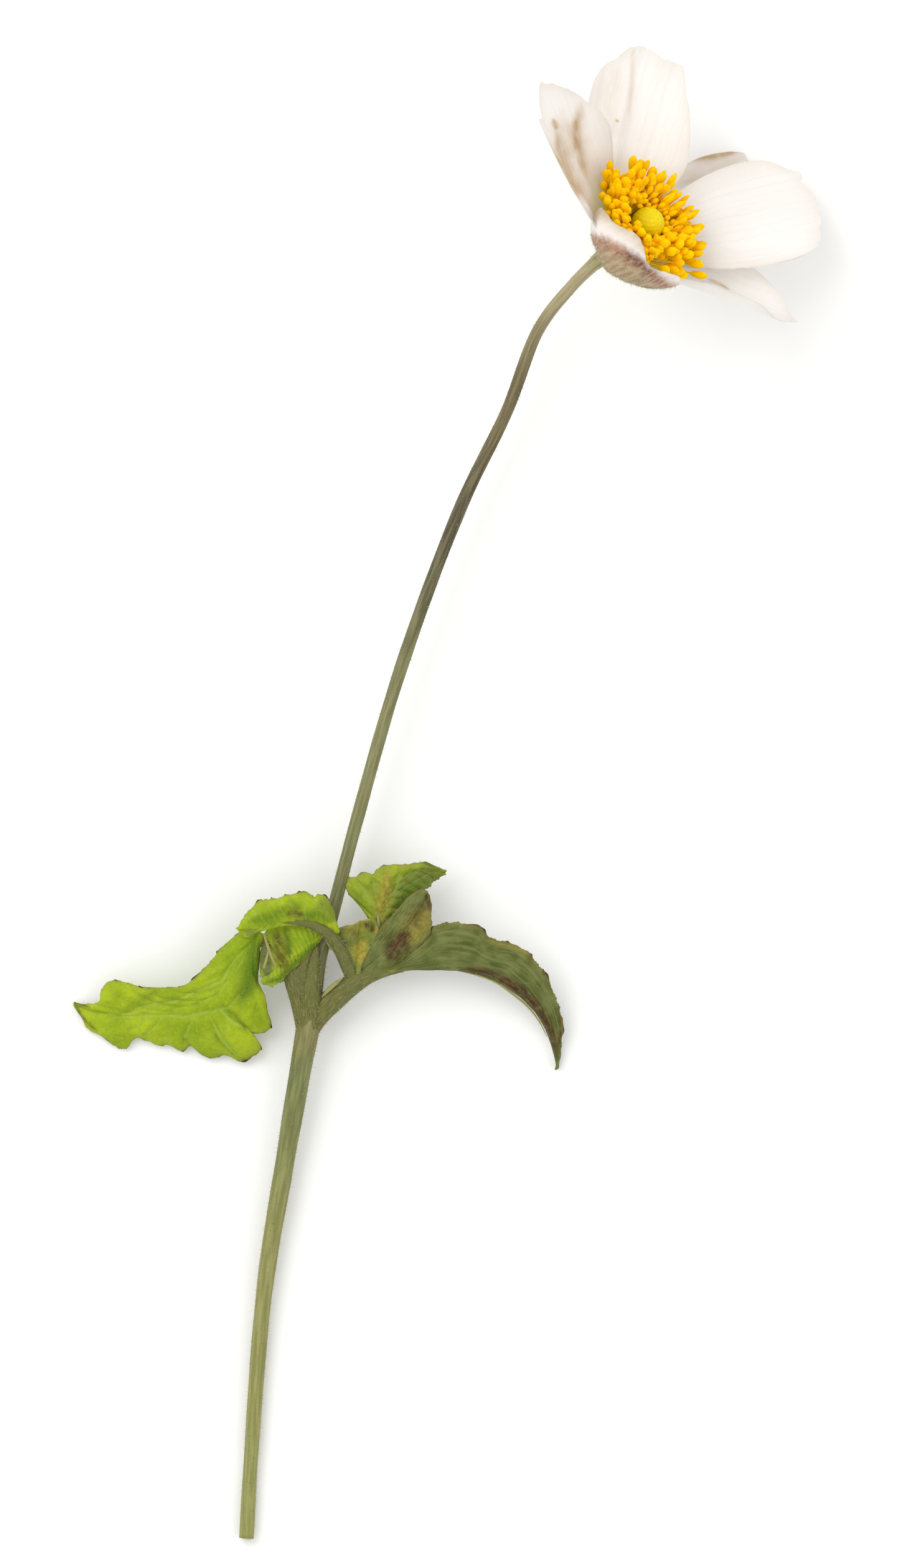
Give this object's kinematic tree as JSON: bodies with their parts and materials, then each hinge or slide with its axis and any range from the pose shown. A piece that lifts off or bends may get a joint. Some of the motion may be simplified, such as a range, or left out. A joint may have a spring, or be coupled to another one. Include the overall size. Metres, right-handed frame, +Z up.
{
  "type": "japanese anemone flower",
  "caption": "Picked white anemone bloom with a ball of carpels and a ring of yellow stamens, on a bent stalk with a leafy joint, lying on its side.",
  "frame": {"origin": "centre of the footprint, on the surface the flower lies on", "axes": "+Z up from the surface, +Y along the flower from its cut end towards the bloom, +X towards the side that the bloom faces"},
  "size_m": [0.1049, 0.2083, 0.0368],
  "materials": {
    "stem": "fine hairs, satin, green going olive brown towards the flower",
    "carpel": "matte, pebbled with tiny carpels",
    "tepal": "thin, soft satin, slightly see-through",
    "stamen": "matte, dusted with pollen",
    "leaf": "satin, veined and slightly hairy"
  },
  "bodies": {
    "root": {"stem": "stem", "carpel_head": "carpel", "tepal_top": "tepal", "tepal_left": "tepal", "tepal_front": "tepal", "tepal_lower_right": "tepal", "tepal_right": "tepal", "tepal_right_back": "tepal", "stamen_01": "stamen", "stamen_02": "stamen", "stamen_03": "stamen", "stamen_04": "stamen", "stamen_05": "stamen", "stamen_06": "stamen", "stamen_07": "stamen", "stamen_08": "stamen", "stamen_09": "stamen", "stamen_10": "stamen", "stamen_11": "stamen", "stamen_12": "stamen", "stamen_13": "stamen", "stamen_14": "stamen", "stamen_15": "stamen", "stamen_16": "stamen", "stamen_17": "stamen", "stamen_18": "stamen", "stamen_19": "stamen", "stamen_20": "stamen", "stamen_21": "stamen", "stamen_22": "stamen", "stamen_23": "stamen", "stamen_24": "stamen", "stamen_25": "stamen", "stamen_26": "stamen", "stamen_27": "stamen", "stamen_28": "stamen", "stamen_29": "stamen", "stamen_30": "stamen", "stamen_31": "stamen", "stamen_32": "stamen", "stamen_33": "stamen", "stamen_34": "stamen", "stamen_35": "stamen", "stamen_36": "stamen", "stamen_37": "stamen", "stamen_38": "stamen", "stamen_39": "stamen", "stamen_40": "stamen", "stamen_41": "stamen", "stamen_42": "stamen", "stamen_43": "stamen", "stamen_44": "stamen", "bract_leaf_right": "leaf", "bract_leaf_left": "leaf"}
  },
  "joints": []
}
